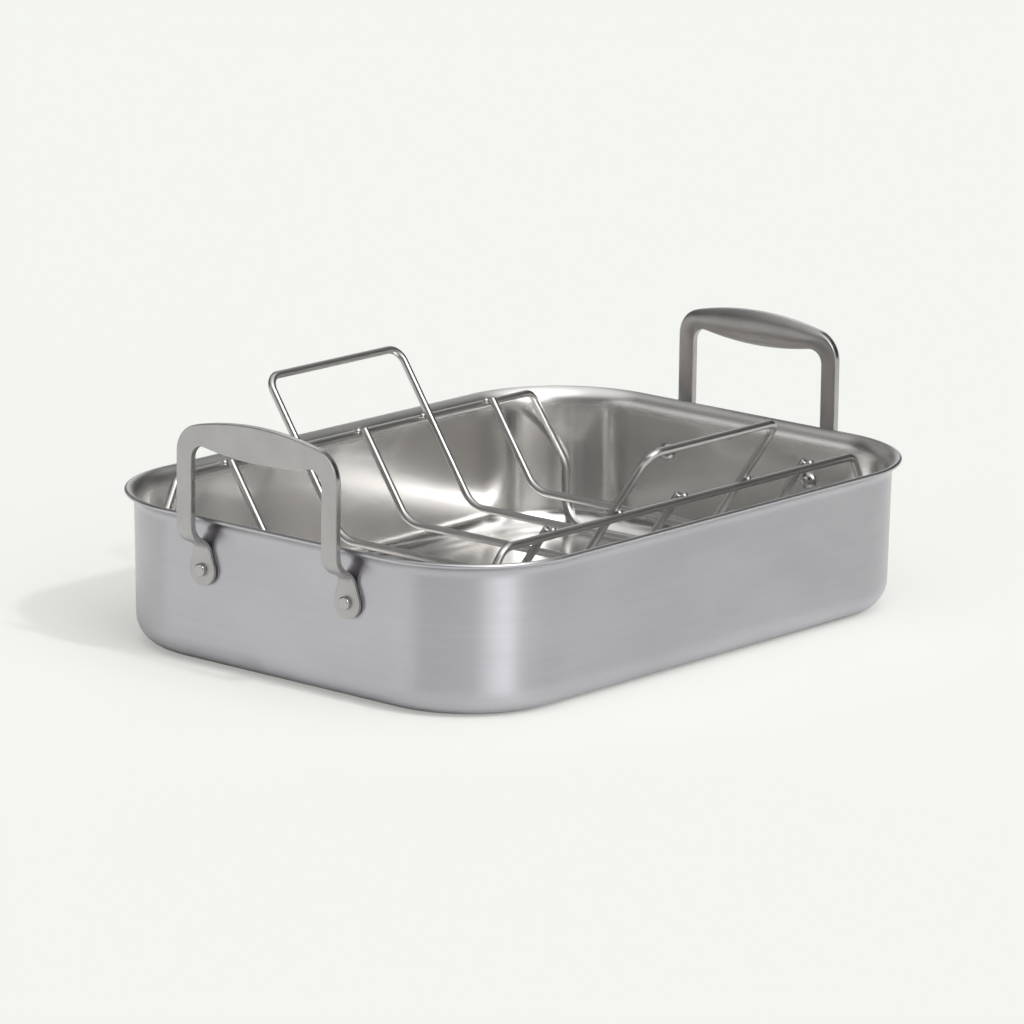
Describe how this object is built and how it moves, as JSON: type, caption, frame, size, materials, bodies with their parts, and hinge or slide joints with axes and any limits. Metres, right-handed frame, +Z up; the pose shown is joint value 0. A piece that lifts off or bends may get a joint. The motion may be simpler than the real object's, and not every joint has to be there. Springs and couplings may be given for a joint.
{
  "type": "roasting pan with rack",
  "caption": "Deep rectangular steel roasting pan with rounded corners, a flared rim and riveted loop handles, holding a V-shaped wire rack with lifting loops that lifts out.",
  "frame": {"origin": "middle of the pan's flat underside", "axes": "+X along the pan's length from handle to handle, +Z up, -Z out of the underside"},
  "size_m": [0.433, 0.3008, 0.1462],
  "materials": {
    "pan_steel": "brushed outside, polished inside",
    "handle_steel": "satin cast",
    "rivet_steel": "polished",
    "rack_wire": "polished wire"
  },
  "bodies": {
    "pan": {"pan_body": "pan_steel", "handle_left": "handle_steel", "handle_right": "handle_steel", "rivet_left_front": "rivet_steel", "rivet_left_rear": "rivet_steel", "rivet_right_front": "rivet_steel", "rivet_right_rear": "rivet_steel"},
    "rack": {"rack_frame_wire": "rack_wire", "rack_carrier_loop": "rack_wire", "rack_cross_wire_left": "rack_wire", "rack_cross_wire_middle": "rack_wire", "rack_cross_wire_right": "rack_wire"}
  },
  "joints": [
    {"name": "rack_lift", "type": "slide", "parent": "pan", "child": "rack", "axis": [0, 0, 1], "range_m": [0, 0.15]}
  ]
}
